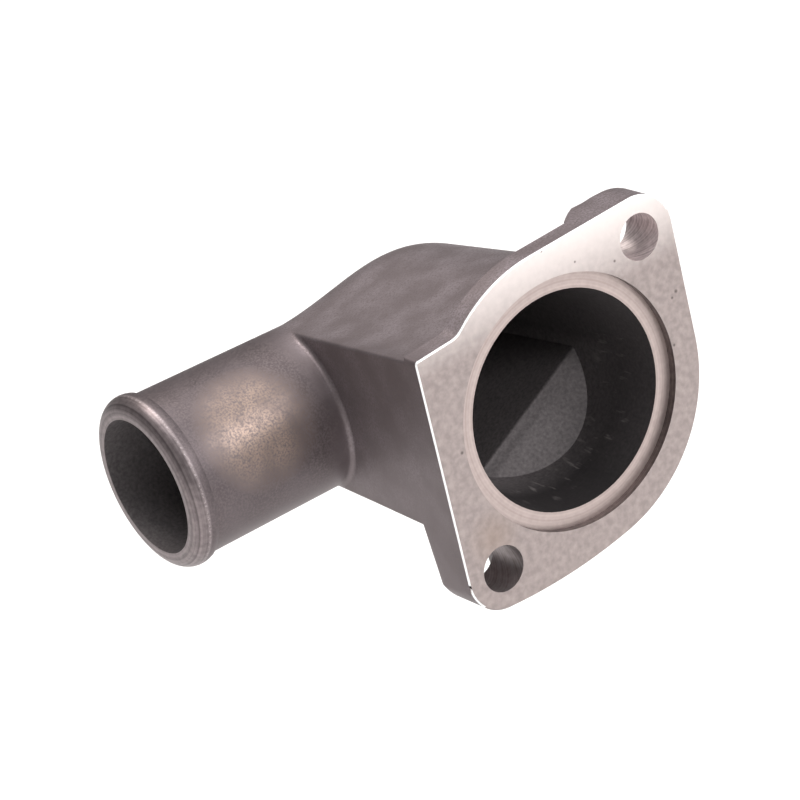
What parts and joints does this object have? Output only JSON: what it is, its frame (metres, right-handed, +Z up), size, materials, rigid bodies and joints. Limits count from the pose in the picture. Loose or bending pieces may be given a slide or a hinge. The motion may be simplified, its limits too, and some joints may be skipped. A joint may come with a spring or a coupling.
{
  "type": "thermostat housing",
  "caption": "Cast elbow housing with a two-eared bolted flange, a stepped seat in its mouth and a beaded hose spigot at a right angle to the bore.",
  "frame": {"origin": "centre of the main bore, on the machined mating face", "axes": "+Y along the main bore, into the casting and away from the engine; -X along the hose spigot, towards its mouth; +Z up, square to both"},
  "size_m": [0.1077, 0.0747, 0.0728],
  "materials": {
    "casting": "as cast, mating face milled flat"
  },
  "bodies": {
    "root": {"housing": "casting"}
  },
  "joints": []
}
